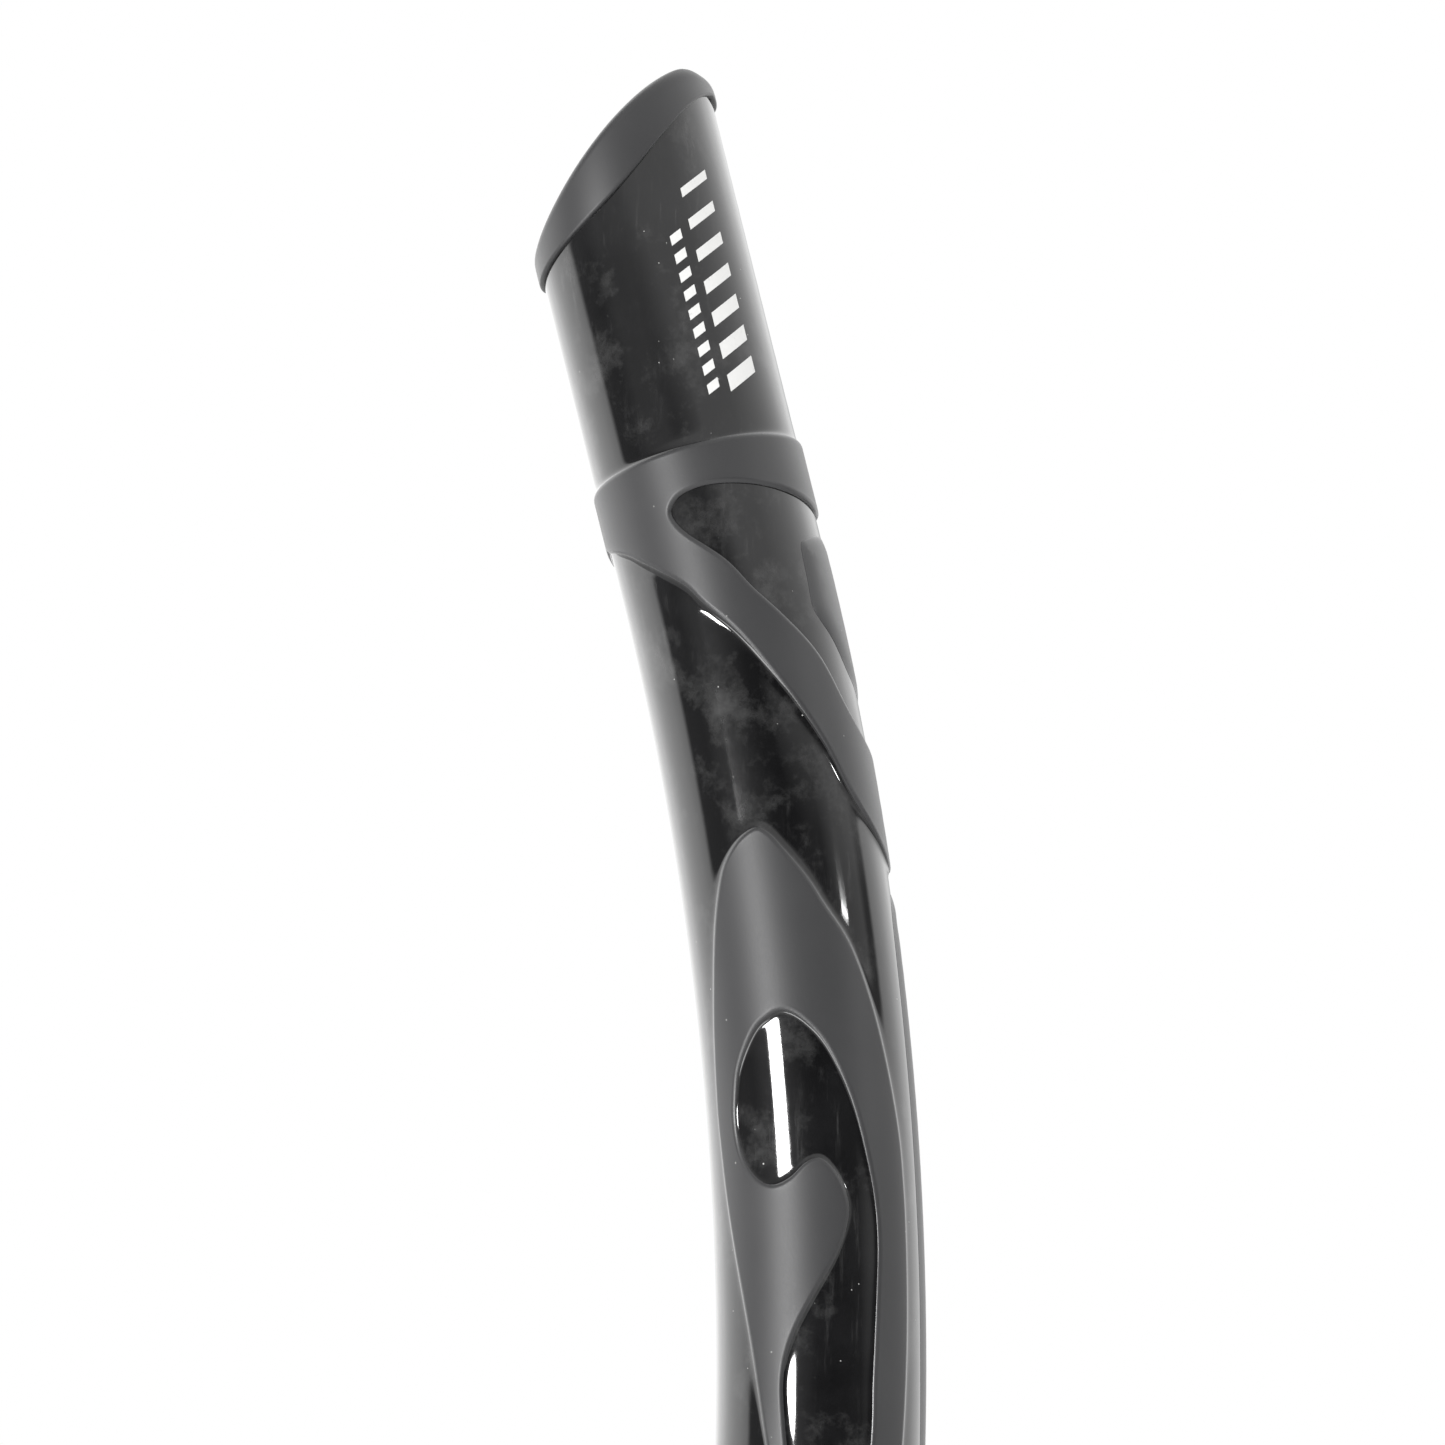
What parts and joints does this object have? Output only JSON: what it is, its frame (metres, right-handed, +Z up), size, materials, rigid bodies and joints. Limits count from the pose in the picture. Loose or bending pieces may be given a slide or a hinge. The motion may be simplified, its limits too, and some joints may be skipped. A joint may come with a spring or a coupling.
{
  "type": "snorkel",
  "caption": "Bent snorkel: rigid barrel with soft overmoulds, swivelling flex hose, purge chamber with flap valve, mouthpiece and a sliding, turning mask-strap keeper.",
  "frame": {"origin": "below the middle of the snorkel's box, at the height of its lowest point", "axes": "+Z up along the barrel; -X is the diver's side, where the mouthpiece points; the snorkel is the same on both sides of the XZ plane"},
  "size_m": [0.1424, 0.06, 0.3602],
  "materials": {
    "gloss_tube": "polished black",
    "soft_grip": "matte dark grey",
    "black_plastic": "satin black",
    "silicone": "matte black silicone",
    "clear_silicone": "milky clear silicone",
    "seal": "black nitrile",
    "steel": "stainless"
  },
  "bodies": {
    "barrel": {"barrel": "gloss_tube", "top_rim": "soft_grip", "upper_sleeve": "soft_grip", "back_patch": "soft_grip", "side_panel_near": "soft_grip", "side_panel_far": "soft_grip", "back_spine": "soft_grip", "foot_cuff": "soft_grip"},
    "swivel": {"hose_nipple": "black_plastic", "o_ring": "seal", "hose_clamp_upper": "black_plastic", "flex_hose": "silicone"},
    "chamber": {"purge_chamber": "black_plastic", "hose_clamp_lower": "black_plastic", "valve_seat": "black_plastic", "purge_cover": "black_plastic", "mouthpiece": "silicone", "mouthpiece_tie": "black_plastic"},
    "diaphragm": {"purge_diaphragm": "clear_silicone"},
    "keeper_slide": {"keeper_liner": "silicone"},
    "keeper_turn": {"keeper_ring": "black_plastic", "keeper_rivet": "steel"},
    "strap_clip": {"clip_base": "black_plastic", "gate_pin": "steel"},
    "strap_gate": {"clip_gate": "black_plastic"}
  },
  "joints": [
    {"name": "mouthpiece_swivel", "type": "hinge", "parent": "barrel", "child": "swivel", "pos_m": [0.04145, 0, 0.08686], "axis": [0.2756, 0, 0.9613], "continuous": true},
    {"name": "hose_flex", "type": "hinge", "parent": "swivel", "child": "chamber", "pos_m": [0.02889, 0, 0.05373], "axis": [0, -1, 0], "range_deg": [-20, 35], "stiffness_Nm_per_rad": 0.5, "deforming": ["flex_hose"]},
    {"name": "purge_lift", "type": "slide", "parent": "chamber", "child": "diaphragm", "axis": [-0.1736, 0, -0.9848], "range_m": [0, 0.0012], "stiffness_N_per_m": 200},
    {"name": "keeper_height", "type": "hinge", "parent": "barrel", "child": "keeper_slide", "pos_m": [-0.35266, 0, 0.19987], "axis": [0, -1, 0], "range_deg": [-0.84, 0.84]},
    {"name": "keeper_turn", "type": "hinge", "parent": "keeper_slide", "child": "keeper_turn", "pos_m": [0.05146, 0, 0.13071], "axis": [0.1687, 0, 0.9857], "continuous": true},
    {"name": "clip_swivel", "type": "hinge", "parent": "keeper_turn", "child": "strap_clip", "pos_m": [0.02824, 0, 0.13468], "axis": [-0.9857, 0, 0.1687], "continuous": true},
    {"name": "clip_gate", "type": "hinge", "parent": "strap_clip", "child": "strap_gate", "pos_m": [0.01916, 0, 0.12041], "axis": [0, -1, 0], "range_deg": [0, 100]}
  ]
}
